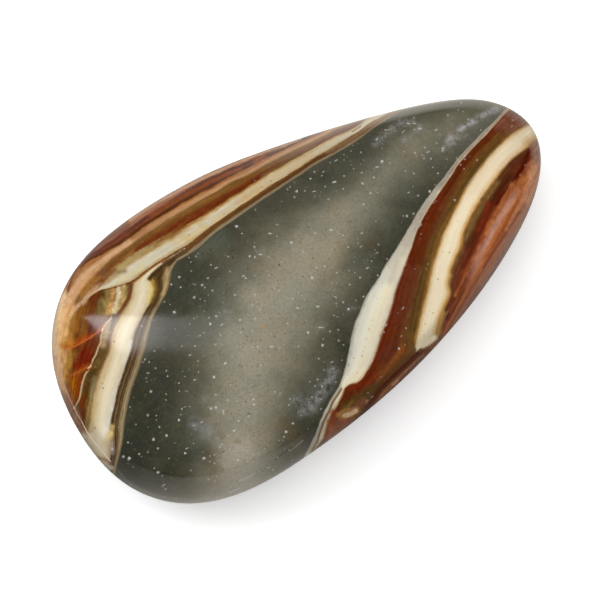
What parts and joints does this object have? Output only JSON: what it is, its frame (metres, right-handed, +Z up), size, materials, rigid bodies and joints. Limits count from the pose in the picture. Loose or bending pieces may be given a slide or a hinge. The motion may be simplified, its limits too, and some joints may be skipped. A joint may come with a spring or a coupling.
{
  "type": "polished jasper palm stone",
  "caption": "Pear-shaped polished palm stone of banded polychrome jasper, with a domed crown, a soft side ridge and a small flat to rest on.",
  "frame": {"origin": "bottom centre of the stone's bounding box, on the plane of the worn flat it rests on", "axes": "+X along the long axis towards the narrow end, +Y across the stone towards its plain rounded flank, +Z up through the thickness out of the domed crown"},
  "size_m": [0.0698, 0.0374, 0.0207],
  "materials": {
    "polished_jasper": "high polish, colour banded in cream, rust, maroon, ochre and speckled grey"
  },
  "bodies": {
    "root": {"polychrome_jasper": "polished_jasper"}
  },
  "joints": []
}
